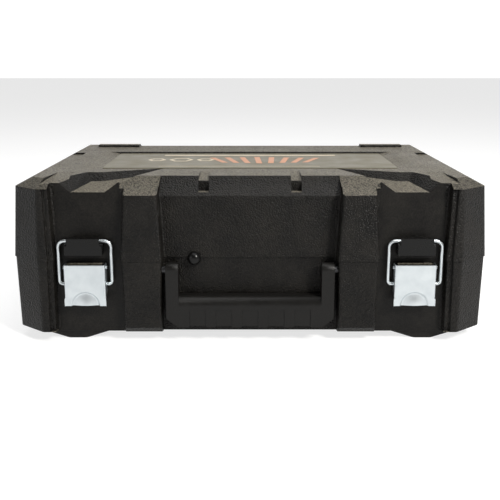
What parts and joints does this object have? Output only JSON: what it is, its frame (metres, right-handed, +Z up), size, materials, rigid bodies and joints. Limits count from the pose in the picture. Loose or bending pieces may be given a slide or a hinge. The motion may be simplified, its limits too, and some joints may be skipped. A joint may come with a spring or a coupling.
{
  "type": "socket wrench set in case",
  "caption": "Closed moulded tool case with hinged lid, two draw latches and a swing handle, holding trays of sockets, ratchets, bars and wrenches.",
  "frame": {"origin": "on the ground at the middle of the bounding box of the closed case", "axes": "+X to the right along the front, +Y from the front to the hinges, +Z up"},
  "size_m": [0.4, 0.2915, 0.1413],
  "materials": {
    "case_plastic": "pebble-grained black moulded plastic",
    "keeper_plastic": "smooth black moulded plastic",
    "handle_plastic": "fine satin black moulded plastic",
    "tray_plastic": "smooth dark grey formed plastic",
    "label": "printed satin label",
    "zinc_plate": "bright zinc plating",
    "pin_steel": "plain drawn steel",
    "tool_chrome": "satin chrome plating",
    "black_steel": "black oxide",
    "grip_plastic": "satin black grip"
  },
  "bodies": {
    "base": {"base_shell": "case_plastic", "base_tray": "tray_plastic", "driver_grip": "grip_plastic", "driver_shaft": "tool_chrome", "half_extension_long": "tool_chrome", "half_extension_short": "tool_chrome", "half_ratchet_body": "tool_chrome", "half_socket_10": "tool_chrome", "half_socket_12": "tool_chrome", "half_socket_13": "tool_chrome", "half_socket_14": "tool_chrome", "half_socket_17": "tool_chrome", "half_socket_19": "tool_chrome", "half_socket_21": "tool_chrome", "half_socket_22": "tool_chrome", "half_socket_24": "tool_chrome", "half_socket_27": "tool_chrome", "handle_pins": "pin_steel", "hinge_pins": "pin_steel", "latch_pins": "zinc_plate", "quarter_extension": "tool_chrome", "quarter_ratchet_body": "tool_chrome", "quarter_socket_10": "tool_chrome", "quarter_socket_11": "tool_chrome", "quarter_socket_12": "tool_chrome", "quarter_socket_13": "tool_chrome", "quarter_socket_5": "tool_chrome", "quarter_socket_6": "tool_chrome", "quarter_socket_7": "tool_chrome", "quarter_socket_8": "tool_chrome", "quarter_socket_9": "tool_chrome", "seam_plug": "keeper_plastic", "spark_plug_socket_16": "tool_chrome", "spark_plug_socket_21": "tool_chrome", "t_bar": "tool_chrome"},
    "lid": {"lid_shell": "case_plastic", "lid_tray": "tray_plastic", "label_plate": "label", "keeper_left": "keeper_plastic", "keeper_right": "keeper_plastic", "wrench_10": "tool_chrome", "wrench_12": "tool_chrome", "wrench_13": "tool_chrome", "wrench_14": "tool_chrome", "wrench_17": "tool_chrome", "wrench_19": "tool_chrome", "wrench_8": "tool_chrome"},
    "handle": {"handle": "handle_plastic"},
    "lever_left": {"latch_lever_left": "zinc_plate"},
    "lever_right": {"latch_lever_right": "zinc_plate"},
    "bail_left": {"latch_bail_left": "zinc_plate"},
    "bail_right": {"latch_bail_right": "zinc_plate"},
    "half_drive": {"half_ratchet_drive": "tool_chrome"},
    "half_reverser": {"half_ratchet_reverser": "black_steel"},
    "half_button": {"half_ratchet_button": "black_steel"},
    "quarter_drive": {"quarter_ratchet_drive": "tool_chrome"},
    "quarter_reverser": {"quarter_ratchet_reverser": "black_steel"},
    "quarter_button": {"quarter_ratchet_button": "black_steel"},
    "t_head": {"t_bar_head": "tool_chrome"}
  },
  "joints": [
    {"name": "lid_hinge", "type": "hinge", "parent": "base", "child": "lid", "pos_m": [0, 0.14125, 0.072], "axis": [-1, 0, 0], "range_deg": [0, 105]},
    {"name": "handle_swing", "type": "hinge", "parent": "base", "child": "handle", "pos_m": [0, -0.13885, 0.0636], "axis": [-1, 0, 0], "range_deg": [0, 100]},
    {"name": "lever_left_swing", "type": "hinge", "parent": "base", "child": "lever_left", "pos_m": [-0.1372, -0.14025, 0.0658], "axis": [-1, 0, 0], "range_deg": [0, 100]},
    {"name": "bail_left_swing", "type": "hinge", "parent": "lever_left", "child": "bail_left", "pos_m": [-0.1372, -0.13985, 0.0515], "axis": [-1, 0, 0], "range_deg": [-72, 0]},
    {"name": "lever_right_swing", "type": "hinge", "parent": "base", "child": "lever_right", "pos_m": [0.1372, -0.14025, 0.0658], "axis": [-1, 0, 0], "range_deg": [0, 100]},
    {"name": "bail_right_swing", "type": "hinge", "parent": "lever_right", "child": "bail_right", "pos_m": [0.1372, -0.13985, 0.0515], "axis": [-1, 0, 0], "range_deg": [-72, 0]},
    {"name": "half_drive_turn", "type": "hinge", "parent": "base", "child": "half_drive", "pos_m": [-0.1683, -0.00899, 0.064], "axis": [0, 0, 1], "continuous": true},
    {"name": "half_reverser_turn", "type": "hinge", "parent": "base", "child": "half_reverser", "pos_m": [-0.1683, -0.00899, 0.064], "axis": [0, 0, 1], "range_deg": [0, 40]},
    {"name": "half_button_press", "type": "slide", "parent": "half_drive", "child": "half_button", "axis": [0, 0, -1], "range_m": [0, 0.0018], "stiffness_N_per_m": 400},
    {"name": "quarter_drive_turn", "type": "hinge", "parent": "base", "child": "quarter_drive", "pos_m": [-0.1763, 0.10651, 0.064], "axis": [0, 0, 1], "continuous": true},
    {"name": "quarter_reverser_turn", "type": "hinge", "parent": "base", "child": "quarter_reverser", "pos_m": [-0.1763, 0.10651, 0.064], "axis": [0, 0, 1], "range_deg": [0, 40]},
    {"name": "quarter_button_press", "type": "slide", "parent": "quarter_drive", "child": "quarter_button", "axis": [0, 0, -1], "range_m": [0, 0.0018], "stiffness_N_per_m": 400},
    {"name": "t_head_slide", "type": "slide", "parent": "base", "child": "t_head", "axis": [1, 0, 0], "range_m": [-0.07, 0.07]}
  ],
  "couplings": [
    {"joint": "bail_left_swing", "follows": "lever_left_swing", "ratio": -0.72},
    {"joint": "bail_right_swing", "follows": "lever_right_swing", "ratio": -0.72}
  ]
}
